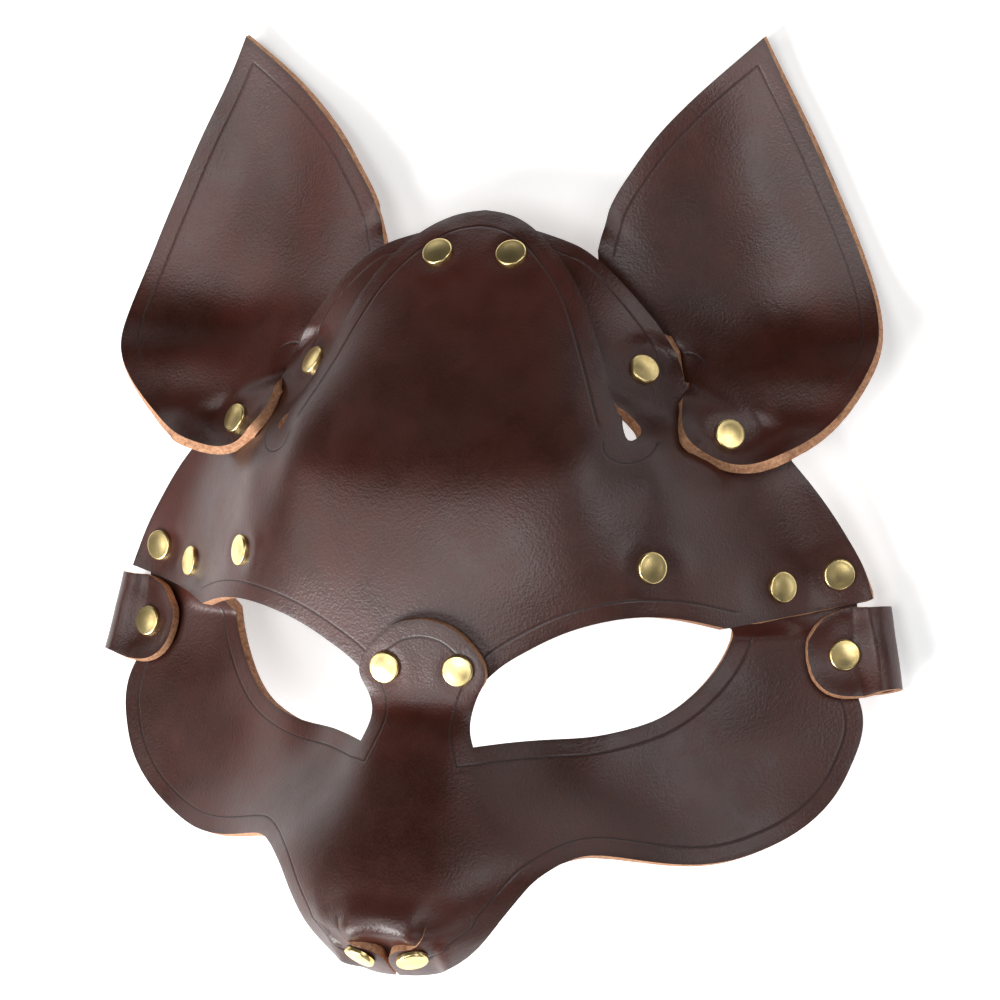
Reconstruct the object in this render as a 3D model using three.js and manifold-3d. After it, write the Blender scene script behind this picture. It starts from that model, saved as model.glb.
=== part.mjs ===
// A half mask of a fox in dark brown leather. Each panel is cut flat, with slits where it overlaps
// itself, then bent over the face and held by brass cap rivets. Lengths are in millimetres.
// X is across the face, Y runs from the nose towards the ears, and Z is out of the face. The mask
// lies on its back, on the strap loops at the temples and the backs of the ears.
import * as THREE from "three";
import Module from "manifold-3d";

const wasm = await Module();
wasm.setup();

// Leather and fit
const LEATHER = 2.7;
const GAP = 0.3;
const CELL = 8;
const EDGE_STEP = 6.6;
const TILT = (6.2 * Math.PI) / 180;

// Cap rivets
const CAP_RADIUS = 4;
const CAP_HEIGHT = 1.2;
const POST_RADIUS = 1.5;
const BORE_RADIUS = 1.85;
const BACK_RADIUS = 3.8;
const BACK_HEIGHT = 0.8;
const FLAT_RADIUS = 4.6;
const FLAT_BLEND = 5;

// Heights of the forehead's outer face: one row for each Y, across at BROW_X from the middle line
const BROW_X = [0, 15, 30, 42, 54, 66, 80, 94, 108];
const BROW_ROWS = [
  [78, [19, 18.5, 18, 15, 11, 7, 4, 2, 0]],
  [64, [30, 29, 26.5, 22, 16, 11, 6.5, 3, 0]],
  [50, [37.5, 36.8, 32.5, 26, 18.5, 13, 8, 4, 1]],
  [36, [45, 44.5, 41, 31, 19.5, 14.5, 10, 5.5, 2]],
  [22, [52.4, 52, 49.8, 43.5, 26.5, 17.5, 10.5, 6.5, 3]],
  [14, [56.5, 56, 54.2, 49.6, 34.5, 21, 12, 7, 3.2]],
  [8, [59.1, 58.6, 56.9, 52.5, 40, 25, 13.2, 7.5, 3.5]],
  [1, [60.8, 60.2, 58.2, 54, 43.5, 28, 14, 7.1, 3.5]],
  [-8, [61.3, 60.6, 58.6, 54.7, 45.8, 30.5, 14.8, 6.5, 3.5]],
  [-20, [60.8, 60, 58, 54.5, 47, 34, 16, 6, 3.5]],
  [-32, [59, 58.3, 55.8, 52.5, 47.3, 37, 19, 7, 3.5]],
  [-46, [56.5, 55.8, 53, 49, 44.5, 36, 20, 8, 4]],
];

// Heights of the muzzle panel's outer face
const MUZZLE_X = [0, 10, 20, 30, 42, 55, 70, 85, 108];
const MUZZLE_ROWS = [
  [-20, [58, 57.5, 48, 38, 29, 20, 11.5, 7.5, 0]],
  [-42, [60, 59.4, 49.5, 40, 32, 23, 14, 9, 0.5]],
  [-50, [60, 59.3, 50.3, 41, 34, 25.5, 16.5, 11, 3]],
  [-60, [63.8, 63.2, 54.8, 43.5, 37, 28.5, 20.5, 14, 6.5]],
  [-75, [72, 71, 65.5, 56.5, 45, 34, 24.5, 17, 11]],
  [-90, [79.5, 78.7, 75, 68, 55.5, 41, 29.5, 20.5, 14]],
  [-102, [84.3, 82.8, 76.5, 67, 53, 41, 31, 23, 16]],
  [-110, [87, 82.5, 71, 61, 48, 37, 28, 21, 15]],
  [-117, [88.5, 77, 59.5, 50, 40, 31, 24, 18, 13]],
];

// Heights of the ear's front face
const EAR_X = [26, 42, 56, 70, 84, 100];
const EAR_ROWS = [
  [120, [18, 17, 16, 16, 16, 16]],
  [100, [19, 17, 13, 11, 13.5, 15]],
  [80, [18, 15.5, 10.5, 8, 9.5, 13]],
  [60, [17, 15, 11, 7.5, 7, 9.5]],
  [50, [17, 15.5, 12, 7.8, 7.3, 10.5]],
  [44, [17, 16.5, 14, 9.8, 9.5, 13]],
  [36, [17.5, 17.5, 17, 14.2, 14.5, 18.5]],
  [28, [18, 18, 20, 18.5, 20, 24]],
  [20, [18, 18, 23, 21.5, 24.5, 28.5]],
  [12, [18, 18, 28, 28.5, 30.5, 33]],
];

// Right-hand outlines on the worn mask, from the middle line round; each run is one smooth edge
const TONGUE = [[0, 74.6], [7, 73.4], [12.3, 71], [16.8, 67.8], [21.8, 63], [26.7, 57], [30.3, 51],
  [34, 43], [38.2, 33.5], [41.4, 26.4], [43.4, 22]];
const HOLE = [[43.4, 22], [45.2, 18], [46.8, 16], [48.2, 17.4], [46.6, 20.6], [41.6, 24.6]];
const WING_INNER = [[41.6, 24.6], [30, 36], [14, 50], [4, 60], [2, 70]];
const WING_TOP = [[2, 70], [10, 70.3], [20.4, 67.6]];
const WING_OUTER = [[20.4, 67.6], [27, 65], [34, 60], [41, 53], [47.6, 45], [51.4, 38.6], [53, 34.6]];
const WING_HIDDEN = [[53, 34.6], [52.2, 31], [52.8, 26.4], [58, 24.2], [67, 23.4], [75, 19.8], [81.3, 12.5]];
const TEMPLE = [[81.3, 12.5], [86, 7], [90.8, 0.5], [95.2, -6.4], [99, -13.4], [101.8, -21.4]];
const BROW_EDGE_OUTER = [[101.8, -21.4], [94, -23.6], [82, -26.8], [70.5, -30]];
const BROW_EDGE_EYE = [[70.5, -30], [62, -28], [52.5, -27.8], [43, -29.7], [34, -33], [25.5, -37.6],
  [19, -42], [13, -47.5], [7, -50.6], [0, -51.5]];

const BRIDGE = [[0, -30.4], [6, -31.5], [11.5, -35], [15.3, -39.6], [16.6, -44], [15, -48], [13.3, -52.5],
  [13.2, -56.5], [14.8, -61.4]];
const EYE = [[14.8, -61.4], [22, -60.2], [30, -59.4], [38, -58.6], [46, -56.6], [53, -53.6], [59, -48.6],
  [63.6, -42.6], [66.8, -36], [68.4, -30.5]];
const TAB = [[68.4, -30.5], [61, -22.5], [52, -18.5], [48.6, -12], [52, -8], [64, -7], [82, -10.5],
  [93.5, -9]];
const CHEEK = [[93.5, -9], [96.6, -17], [97, -32], [97.8, -43], [100.6, -50.5], [101, -56], [99.4, -63],
  [96.4, -70.4], [92, -76.6], [86.4, -81.6], [79.6, -85.6], [72.2, -88.4], [63.5, -89.4], [55, -88.6],
  [47.5, -87.3], [42.3, -87.2], [37.8, -89.2]];
const SNOUT = [[37.8, -89.2], [33.6, -92.8], [29.8, -97.2], [26.2, -101.8], [22.4, -106.6],
  [18.2, -111], [13.8, -114.4], [9.4, -116.7], [4.6, -117.4], [0.5, -117.5]];
const FLAP = [[0.5, -117.5], [0.35, -114.8], [0.9, -112.7], [2.6, -111.4], [5, -110.5], [7.6, -110.1],
  [9.6, -108.5], [10.8, -106.6], [11.3, -104]];
const PAD = [[11.1, -103.8], [10.3, -106.4], [9.1, -108.6], [7.4, -110.9], [4, -112], [0, -112.3]];

const EAR = [[29, 65], [32.2, 76.8], [37.2, 85.4], [42.9, 93.8], [49.4, 101.4], [56.2, 108.2],
  [63.2, 114.2], [70.4, 120]];
const EAR_OUTER = [[70.4, 120], [75.6, 109], [80.4, 99.6], [85, 90.4], [89.4, 80.9], [93.8, 71.2],
  [97.8, 61.6], [101.3, 51.5], [102.6, 41.5], [99.9, 32.4], [94.2, 24], [86, 16.8], [77.2, 12.4],
  [68.5, 11.4], [62.4, 14], [58, 18.2], [55.8, 23], [55.2, 27.4], [54.7, 31.8]];
const EAR_FLAP = [[53.7, 31.8], [52.6, 28.8], [48.6, 26.8], [42.4, 27.6], [37.4, 33], [34, 42], [30.6, 53],
  [29, 65]];

// Rivet places on the right-hand side
const CROWN_RIVET = [9.9, 63];
const EAR_INNER_RIVET = [44.8, 34.6];
const EAR_OUTER_RIVET = [67, 18.8];
const BROW_RIVETS = [[54.7, -15.4], [80.7, -19.3], [93.3, -15.6]];
const BRIDGE_RIVET = [9.6, -42.8];
const NOSE_RIVET = [6.8, -113];
const LOOP_RIVET = [95.6, -36];

// Strap loops: a strip of thinner leather folded round the cheek's outer edge
const LOOP_LEATHER = 2;
const LOOP_FRONT = 9.5;
const LOOP_HALF_WIDTH = 11.6;
const LOOP_REACH = 12.4;
const LOOP_INNER_RADIUS = 4.2;
const LOOP_TURN = 0.19;

const smooth = (t) => {
  const k = Math.min(1, Math.max(0, t));
  return k * k * (3 - 2 * k);
};
const ramp = (t, soft) => soft * Math.log1p(Math.exp(t / soft));
const mix = (a, b, t) => a + (b - a) * t;
const higher = (a, b, soft) => (a + b + Math.hypot(a - b, soft)) / 2;
const lower = (a, b, soft) => (a + b - Math.hypot(a - b, soft)) / 2;

// A natural cubic spline through values at stations, straight beyond both ends
function spline(stations, values) {
  const n = stations.length;
  const second = new Array(n).fill(0);
  const work = new Array(n).fill(0);
  for (let i = 1; i < n - 1; i++) {
    const before = stations[i] - stations[i - 1];
    const after = stations[i + 1] - stations[i];
    const bend = (values[i + 1] - values[i]) / after - (values[i] - values[i - 1]) / before;
    const pivot = 2 * (before + after) - before * work[i - 1];
    work[i] = after / pivot;
    second[i] = (6 * bend - before * second[i - 1]) / pivot;
  }
  for (let i = n - 2; i > 0; i--) second[i] -= work[i] * second[i + 1];
  return (t) => {
    const inside = Math.min(stations[n - 1], Math.max(stations[0], t));
    let i = 0;
    while (i < n - 2 && inside > stations[i + 1]) i++;
    const h = stations[i + 1] - stations[i];
    const b = (inside - stations[i]) / h;
    const a = 1 - b;
    const value = a * values[i] + b * values[i + 1]
      + ((a * a * a - a) * second[i] + (b * b * b - b) * second[i + 1]) * h * h / 6;
    const slope = (values[i + 1] - values[i]) / h
      + ((1 - 3 * a * a) * second[i] + (3 * b * b - 1) * second[i + 1]) * h / 6;
    return value + slope * (t - inside);
  };
}

// A smooth height over the face from rows of section heights
function loft(across, rows, mirrored) {
  const ys = rows.map((row) => row[0]).reverse();
  const sections = rows.map((row) => row[1]).reverse().map((heights) =>
    mirrored
      ? spline([...across.slice(1).reverse().map((x) => -x), ...across],
        [...heights.slice(1).reverse(), ...heights])
      : spline(across, heights));
  return (x, y) => spline(ys, sections.map((section) => section(x)))(y);
}

const browRows = loft(BROW_X, BROW_ROWS, true);
const muzzleRows = loft(MUZZLE_X, MUZZLE_ROWS, true);
const earSection = loft(EAR_X, EAR_ROWS, false);

// The forehead, with the pucker that runs from each teardrop hole to the inner rivet
function browSection(x, y) {
  const down = y + 1;
  const aside = Math.abs(x) - 56.5 + 0.21 * down;
  const fold = Math.exp(-((aside / 3.6) ** 2)) - 0.7 * Math.exp(-(((aside + 8.5) / 4) ** 2));
  return browRows(x, y) + 1.7 * Math.exp(-((down / 11) ** 4)) * fold;
}

// The muzzle, with the rounded tip of the nose at its end
function muzzleSection(x, y) {
  const a = Math.abs(x);
  const tip = 85.8 - 3 * ramp(Math.hypot(0.9 * a, y + 104) - 9.4, 1.3)
    - 0.42 * ramp(9 - Math.hypot(a, y + 113), 1);
  const button = 0.6 * smooth((11.5 - a) / 4) * smooth((-97 - y) / 6) * smooth((y + 109) / 4);
  const rows = muzzleRows(x, y);
  const near = smooth((-97 - y) / 5) * (1 - smooth((a - 11) / 8));
  return button + mix(rows, lower(rows, tip, 1.2), near);
}

// The leather is drawn flat under a rivet's cap
function flattened(face, places) {
  const step = 1.5;
  const planes = places.map(([x, y]) => [x, y, face(x, y),
    (face(x + step, y) - face(x - step, y)) / (2 * step),
    (face(x, y + step) - face(x, y - step)) / (2 * step)]);
  return (x, y) => planes.reduce((height, [px, py, pz, dx, dy]) => mix(
    pz + dx * (x - px) + dy * (y - py), height,
    smooth((Math.hypot(x - px, y - py) - FLAT_RADIUS) / FLAT_BLEND)), face(x, y));
}

// How far along Z a layer moves when it lies the given distance off a sloping face
function along(face, x, y, distance) {
  const step = 0.5;
  const dx = (face(x + step, y) - face(x - step, y)) / (2 * step);
  const dy = (face(x, y + step) - face(x, y - step)) / (2 * step);
  return distance * Math.hypot(1, dx, dy);
}

const LAYER = LEATHER + 2.5 * GAP;
const EAR_LAYER = LAYER + GAP;
const browFace = flattened(browSection,
  [CROWN_RIVET, EAR_INNER_RIVET, EAR_OUTER_RIVET, ...BROW_RIVETS, BRIDGE_RIVET]);
const wingFace = flattened((x, y) => browFace(x, y)
  - along(browFace, x, y, LAYER) * smooth((y - 16) / 8) * (1 - smooth((x - 42) / 18)),
[EAR_INNER_RIVET, EAR_OUTER_RIVET]);

function muzzleFace(x, y) {
  const section = muzzleSection(x, y);
  const layer = along(browFace, x, y, LAYER);
  const overBrow = smooth((y + 60) / 14) * (1 - smooth((x - 17) / 10));
  const underBrow = smooth((y + 33) / 7) * smooth((x - 34) / 8);
  return mix(mix(section, browFace(x, y) + layer, overBrow), browFace(x, y) - layer, underBrow);
}
const padFace = (x, y) => muzzleSection(x, y) - along(muzzleSection, x, y, LAYER)
  * smooth((-107 - y) / 3.2) * (1 + 0.4 * smooth((-110.4 - y) / 2));

function earUnder(x, y) {
  const limit = wingFace(x, y) - along(wingFace, x, y, EAR_LAYER);
  const held = smooth((44 - y) / 7) * (1 - smooth((x - 48) / 4));
  const behind = mix(lower(earSection(x, y), limit, 1), limit, held);
  return mix(behind, earSection(x, y), Math.max(smooth((x - 51) / 8), smooth((x + y - 96) / 12)));
}
function earOver(x, y) {
  const lift = 0.6 * smooth((65.5 - x) / 3.5) * smooth((17.8 - y) / 3);
  const front = wingFace(x, y) + along(wingFace, x, y, EAR_LAYER + lift);
  const apart = Math.hypot(x - EAR_OUTER_RIVET[0], y - EAR_OUTER_RIVET[1]);
  const start = FLAT_RADIUS + 0.5 + 2.2 * smooth((x - 66.5) / 2.5) * smooth((y - 12.2) / 2.4);
  const cup = mix(front, higher(earSection(x, y), front, 1), smooth((apart - start) / 5));
  return mix(earUnder(x, y), cup, smooth((32 - 0.31 * (x - 54.4) - y) / 4.5));
}

// The flat panel lies wider than the worn one beside a slit; these are the two shifts
const wingSpread = (y) => 0.85 * ramp(y - 22, 1.2);
const flapSpread = (y) => 12 * smooth((-103.2 - y) / 9);

const flatWing = ([x, y]) => [x + wingSpread(y), y];
const flatFlap = ([x, y]) => [x + flapSpread(y), y];
const slitX = spline([16, 22, 30, 38, 50, 60, 70, 80], [46.8, 44.6, 41.5, 38, 32.5, 27.5, 23, 20]);

// Each panel's bend: from a place on the flat panel to the point on its outer face
function bendBrow(p, y) {
  const side = Math.sign(p) || 1;
  const a = Math.abs(p);
  const onWing = y > 16 && a > slitX(y);
  const x = onWing ? a - wingSpread(y) : a;
  return [side * x, y, (onWing ? wingFace : browFace)(x, y)];
}
function bendMuzzle(p, y) {
  const side = Math.sign(p) || 1;
  const a = Math.abs(p);
  if (y < -100 && a < 11.25) return [p, y, padFace(a, y)];
  const x = a - flapSpread(y);
  return [side * x, y, muzzleFace(x, y)];
}
const bendEar = (p, y) => [p, y, (p > 54.2 ? earOver : earUnder)(p, y)];

const onFace = (height) => (x, y) => [x, y, height(x, y)];

// The outer normal of a bent face, by small steps kept on the same side of every slit
function normalAt(bend, p, y) {
  const step = 0.02;
  const at = (dp, dy) => new THREE.Vector3(...bend(p + dp, y + dy));
  const across = at(step, 0).sub(at(-step, 0));
  const up = at(0, step).sub(at(0, -step));
  return across.cross(up).normalize();
}

// An edge through a few points: a spline along the chord, sampled about evenly
function edge(points, step = EDGE_STEP) {
  const along = [0];
  for (let i = 1; i < points.length; i++)
    along.push(along[i - 1] + Math.hypot(points[i][0] - points[i - 1][0], points[i][1] - points[i - 1][1]));
  const length = along[along.length - 1];
  const x = spline(along, points.map((point) => point[0]));
  const y = spline(along, points.map((point) => point[1]));
  const count = Math.max(points.length > 2 ? 3 : 1, Math.round(length / step));
  return Array.from({ length: count + 1 }, (_, i) => [x((length * i) / count), y((length * i) / count)]);
}
const outline = (...runs) => runs.flatMap((run) => run.slice(0, -1));
const mirror = (points) => points.map(([x, y]) => [-x, y]).reverse();

function solid(geometry) {
  const merged = weld(geometry);
  return new wasm.Manifold(new wasm.Mesh({ numProp: 3, ...merged }));
}
function weld(geometry) {
  const flat = geometry.index ? geometry.toNonIndexed() : geometry;
  const position = flat.getAttribute("position");
  const found = new Map();
  const vertProperties = [];
  const triVerts = [];
  for (let i = 0; i < position.count; i++) {
    const point = [position.getX(i), position.getY(i), position.getZ(i)];
    const key = point.map((v) => Math.round(v * 1e4)).join();
    if (!found.has(key)) {
      found.set(key, found.size);
      vertProperties.push(...point);
    }
    triVerts.push(found.get(key));
  }
  return { vertProperties: new Float32Array(vertProperties), triVerts: new Uint32Array(triVerts) };
}
function geometryOf(body) {
  const { vertProperties, triVerts, numProp } = body.getMesh();
  const position = new Float32Array((vertProperties.length / numProp) * 3);
  for (let i = 0; i < position.length / 3; i++)
    position.set(vertProperties.subarray(i * numProp, i * numProp + 3), i * 3);
  return new THREE.BufferGeometry()
    .setAttribute("position", new THREE.BufferAttribute(position, 3))
    .setIndex(new THREE.BufferAttribute(triVerts.slice(), 1));
}

// Cuts a panel from a slab by its outline, then bends it. The slab is faintly domed, so that its
// grid of points outlasts the cut.
function panel(points, bend, thickness = LEATHER, cell = CELL) {
  const xs = points.map((point) => point[0]);
  const ys = points.map((point) => point[1]);
  const low = [xs, ys].map((values) => (Math.floor(Math.min(...values) / cell) - 0.5) * cell);
  const count = [xs, ys].map((values, i) => Math.ceil((Math.max(...values) - low[i]) / cell) + 1);
  const size = count.map((n) => n * cell);
  const slab = new THREE.BoxGeometry(size[0], size[1], 1, count[0], count[1], 1)
    .translate(low[0] + size[0] / 2, low[1] + size[1] / 2, 0);
  const place = slab.getAttribute("position");
  const dome = (x, y) => 0.0004 * (x * x + y * y);
  for (let i = 0; i < place.count; i++)
    place.setZ(i, place.getZ(i) + dome(place.getX(i), place.getY(i)));
  const shape = new THREE.Shape(points.map((point) => new THREE.Vector2(...point)));
  const cutter = new THREE.ExtrudeGeometry(shape, { depth: 60, bevelEnabled: false }).translate(0, 0, -20);
  const cut = geometryOf(solid(slab).intersect(solid(cutter)));
  const position = cut.getAttribute("position");
  for (let i = 0; i < position.count; i++) {
    const [p, q] = [position.getX(i), position.getY(i)];
    const inner = position.getZ(i) - dome(p, q) < 0;
    const face = new THREE.Vector3(...bend(p, q));
    if (inner) face.addScaledVector(normalAt(bend, p, q), -thickness);
    position.setXYZ(i, face.x, face.y, face.z);
  }
  return solid(cut);
}

// The strap loop's bend: out along the cheek, round the strap's space, and back behind the cheek
function loopPath(s) {
  const rest = LEATHER / 2 + 2 * GAP + LOOP_LEATHER;
  const wide = LOOP_INNER_RADIUS + LOOP_LEATHER;
  const straight = LOOP_FRONT + LOOP_REACH;
  const bow = Math.PI * wide;
  const rise = (a) => mix(rest, wide, smooth((a - 3.6) / 3));
  if (s < straight - wide) return [s - LOOP_FRONT, rise(s - LOOP_FRONT)];
  const turned = s - (straight - wide);
  if (turned < bow) {
    const angle = turned / wide;
    return [LOOP_REACH - wide + wide * Math.sin(angle), wide * Math.cos(angle)];
  }
  const back = LOOP_REACH - wide - (turned - bow);
  return [back, -rise(back)];
}
const LOOP_LENGTH = 2 * (LOOP_FRONT + LOOP_REACH - LOOP_INNER_RADIUS - LOOP_LEATHER)
  + Math.PI * (LOOP_INNER_RADIUS + LOOP_LEATHER) - 2;

function bendLoop(s, v) {
  const [a, h] = loopPath(s);
  const x = LOOP_RIVET[0] + a * Math.cos(LOOP_TURN) - v * Math.sin(LOOP_TURN);
  const y = LOOP_RIVET[1] + a * Math.sin(LOOP_TURN) + v * Math.cos(LOOP_TURN);
  const point = new THREE.Vector3(...onFace(muzzleFace)(x, y));
  return point.addScaledVector(normalAt(onFace(muzzleFace), x, y), h - LEATHER / 2).toArray();
}

// A cap rivet through a stack of leather, at a point on the stack's outer face
function rivetBody(stack, base) {
  const end = -stack - base;
  const profile = [
    [0, end - BACK_HEIGHT],
    [BACK_RADIUS, end - BACK_HEIGHT],
    [BACK_RADIUS, end],
    [POST_RADIUS, end],
    [POST_RADIUS, base],
    [CAP_RADIUS, base],
    [CAP_RADIUS - 0.4, base + CAP_HEIGHT],
    [0, base + CAP_HEIGHT],
  ].map(([r, z]) => new THREE.Vector2(r, z));
  return new THREE.LatheGeometry(profile, 8).rotateX(Math.PI / 2);
}
function frameAt(bend, p, y, side) {
  const normal = normalAt(bend, p, y);
  const point = new THREE.Vector3(...bend(p, y));
  normal.x *= side;
  point.x *= side;
  const turn = new THREE.Quaternion().setFromUnitVectors(new THREE.Vector3(0, 0, 1), normal);
  return new THREE.Matrix4().compose(point, turn, new THREE.Vector3(1, 1, 1));
}

const TWO_LAYERS = 2 * LEATHER + 2.5 * GAP;
const loopOuter = (x, y) => muzzleFace(x, y) + along(muzzleFace, x, y, 2 * GAP + LOOP_LEATHER);

// Each pair: name, place, the face it sits on, the thickness held, and the panels it goes through
const RIVETS = [
  ["crown", CROWN_RIVET, onFace(browFace), TWO_LAYERS, ["brow_panel"]],
  ["ear_inner", EAR_INNER_RIVET, onFace(wingFace), TWO_LAYERS, ["brow_panel", "ear"]],
  ["ear_outer", EAR_OUTER_RIVET, onFace(earOver), TWO_LAYERS, ["brow_panel", "ear"]],
  ["brow_inner", BROW_RIVETS[0], onFace(browFace), TWO_LAYERS, ["brow_panel", "muzzle_panel"]],
  ["brow_middle", BROW_RIVETS[1], onFace(browFace), TWO_LAYERS, ["brow_panel", "muzzle_panel"]],
  ["brow_outer", BROW_RIVETS[2], onFace(browFace), TWO_LAYERS, ["brow_panel", "muzzle_panel"]],
  ["bridge", BRIDGE_RIVET, onFace(muzzleFace), TWO_LAYERS, ["brow_panel", "muzzle_panel"]],
  ["nose", NOSE_RIVET, onFace(muzzleSection), TWO_LAYERS + 1.5, ["muzzle_panel"]],
  ["loop", LOOP_RIVET, onFace(loopOuter), LEATHER + 2 * (2 * GAP + LOOP_LEATHER),
    ["muzzle_panel", "strap_loop"]],
];

// Panel outlines on the flat leather
const browRight = outline(edge(TONGUE), edge(HOLE.map(flatWing), 2.2), edge(WING_INNER.map(flatWing)),
  edge(WING_TOP.map(flatWing)), edge(WING_OUTER.map(flatWing)), edge(WING_HIDDEN.map(flatWing)),
  edge(TEMPLE), edge(BROW_EDGE_OUTER), edge(BROW_EDGE_EYE));
const muzzleRight = outline(edge(BRIDGE, 3), edge(EYE), edge(TAB), edge(CHEEK),
  edge(SNOUT.map(flatFlap), 3), edge(FLAP.map(flatFlap), 2), edge(PAD, 3));
const earPoints = outline(edge(EAR), edge(EAR_OUTER, 7.0), [EAR_OUTER.at(-1), EAR_FLAP[0]], edge(EAR_FLAP));
const both = (right, last) => [...right, last, ...mirror(right.slice(1))];

// The loop's strip: round at the front, with a short straight rear end
const loopEnd = [[0, 0], [0.7, 5], [3.4, 9], [7.6, 11], [12, LOOP_HALF_WIDTH]];
const loopSide = [...edge(loopEnd, 3.6).slice(1), [LOOP_LENGTH - 2, 9], [LOOP_LENGTH, 6]];
const LOOP_STRIP = [[0, 0], ...loopSide, ...loopSide.map(([s, v]) => [s, -v]).reverse()];

const mirrored = (body) => {
  const flipped = geometryOf(body).scale(-1, 1, 1).toNonIndexed();
  const place = flipped.getAttribute("position");
  const corner = new THREE.Vector3();
  const other = new THREE.Vector3();
  for (let i = 0; i < place.count; i += 3) {
    corner.fromBufferAttribute(place, i + 1);
    other.fromBufferAttribute(place, i + 2);
    place.setXYZ(i + 1, ...other);
    place.setXYZ(i + 2, ...corner);
  }
  return solid(flipped);
};

const bodies = new Map();
bodies.set("brow_panel", panel(both(browRight, BROW_EDGE_EYE.at(-1)), bendBrow));
bodies.set("muzzle_panel", panel(both(muzzleRight, PAD.at(-1)), bendMuzzle));
bodies.set("ear_right", panel(earPoints, bendEar));
bodies.set("strap_loop_right", panel(LOOP_STRIP, bendLoop, LOOP_LEATHER, 4.8));

const rivets = new Map();
for (const [name, [x, y], bend, stack, held] of RIVETS)
  for (const [hand, side] of [["right", 1], ["left", -1]]) {
    const frame = frameAt(bend, x, y, side);
    const seat = name.startsWith("ear") ? 3.5 * GAP : 2 * GAP;
    rivets.set(`rivet_${name}_${hand}`, rivetBody(stack, seat).applyMatrix4(frame));
    const bore = new THREE.CylinderGeometry(BORE_RADIUS, BORE_RADIUS, stack + 5, 6)
      .rotateX(Math.PI / 2).translate(0, 0, -stack / 2).applyMatrix4(frame);
    for (const panelName of held) {
      const key = bodies.has(panelName) ? panelName : `${panelName}_${hand}`;
      if (bodies.has(key)) bodies.set(key, bodies.get(key).subtract(solid(bore)));
    }
  }
for (const name of ["ear", "strap_loop"])
  bodies.set(`${name}_left`, mirrored(bodies.get(`${name}_right`)));

const leather = new THREE.MeshStandardMaterial({ color: 0x46281f, roughness: 0.45, metalness: 0 });
const brass = new THREE.MeshStandardMaterial({ color: 0xc9a75a, roughness: 0.25, metalness: 1 });
const mask = new THREE.Group();
for (const [name, body] of bodies) {
  const mesh = new THREE.Mesh(geometryOf(body), leather);
  mesh.name = name;
  mask.add(mesh);
}
for (const [name, geometry] of rivets) {
  const mesh = new THREE.Mesh(geometry, brass);
  mesh.name = name;
  mask.add(mesh);
}

// Lying on its back: tilted onto loops and ears, centred over the floor
mask.rotation.x = -TILT;
mask.updateMatrixWorld(true);
const box = new THREE.Box3().setFromObject(mask, true);
mask.position.set(-(box.min.x + box.max.x) / 2, -(box.min.y + box.max.y) / 2, -box.min.z);
export default mask;
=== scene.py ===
# %% [markdown]
# # A leather fox mask
# A half mask of a fox, cut from flat pieces of dark brown leather. The pieces are slit, lapped and
# riveted, and that alone gives the mask its shape: no piece is moulded. It could be sculpted as one
# skin, but then no edge would lie over another as real leather does. So this lesson cuts each piece
# from a flat pattern, bends it over the face, gives it its thickness and a rounded raw edge, and
# sets polished brass rivets through the layers. Sizes are in millimetres until a mesh is made.

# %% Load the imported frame
import math

import bpy
import numpy as np
from mathutils import Matrix, Vector
from mathutils.geometry import delaunay_2d_cdt


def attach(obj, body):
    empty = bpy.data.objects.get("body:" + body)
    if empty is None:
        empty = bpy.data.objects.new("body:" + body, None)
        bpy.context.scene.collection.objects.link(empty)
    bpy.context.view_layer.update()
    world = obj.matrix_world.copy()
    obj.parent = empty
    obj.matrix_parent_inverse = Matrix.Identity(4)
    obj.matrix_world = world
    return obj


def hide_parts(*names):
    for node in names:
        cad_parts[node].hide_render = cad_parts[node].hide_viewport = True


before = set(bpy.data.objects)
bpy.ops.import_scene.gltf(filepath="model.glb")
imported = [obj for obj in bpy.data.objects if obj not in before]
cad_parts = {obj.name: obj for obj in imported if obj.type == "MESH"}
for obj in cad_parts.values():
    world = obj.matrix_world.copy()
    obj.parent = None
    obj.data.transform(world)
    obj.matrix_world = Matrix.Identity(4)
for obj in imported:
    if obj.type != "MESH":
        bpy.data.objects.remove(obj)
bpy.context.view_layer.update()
MM = 0.001
print("pieces in the frame:", len(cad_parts))

# %% [markdown]
# ## Sizes
# The leather is 2.7 mm thick and the strap loops are cut from a thinner hide. Layers are kept a
# hair apart, so that no two faces share a place. The mask is drawn looking straight at the face,
# with Y up the forehead, and then tipped back a little, because it lies on the backs of its ears
# and on its strap loops.

# %% Sizes of the leather and places of the rivets
LEATHER = 2.7
LOOP_LEATHER = 2.0
GAP = 0.06
LAYER = LEATHER + 2.5 * GAP
EAR_LAYER = LAYER + GAP
TILT = math.radians(6.2)
SHIFT = (0.0, -6.1664, 3.4198)

CAP_RADIUS = 4.0
CROWN_RIVET = (9.9, 63)
EAR_INNER_RIVET = (44.8, 34.6)
EAR_OUTER_RIVET = (67, 18.8)
BROW_RIVETS = ((54.7, -15.4), (80.7, -19.3), (93.3, -15.6))
BRIDGE_RIVET = (9.6, -42.8)
NOSE_RIVET = (6.8, -113)
LOOP_RIVET = (95.6, -36)


def to_part(points):
    """Points drawn looking at the face, in mm, as points of the lying mask, in metres."""
    x, y, z = np.asarray(points, float).T
    turned = np.stack([x, y * math.cos(TILT) + z * math.sin(TILT),
                       z * math.cos(TILT) - y * math.sin(TILT)], axis=1)
    return (turned + SHIFT) * MM


print("two layers of leather:", round(LEATHER + LAYER, 2), "mm")

# %% [markdown]
# ## Smooth curves
# A leather worker bends a piece over a form. Here the form is a height over the drawing, given by
# a few section rows, each with a few heights. Straight lines between them would leave creases, so
# a natural cubic spline runs through them without a corner. Its value is a weighted sum of the
# heights, so the weights are found once for all points.

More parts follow.
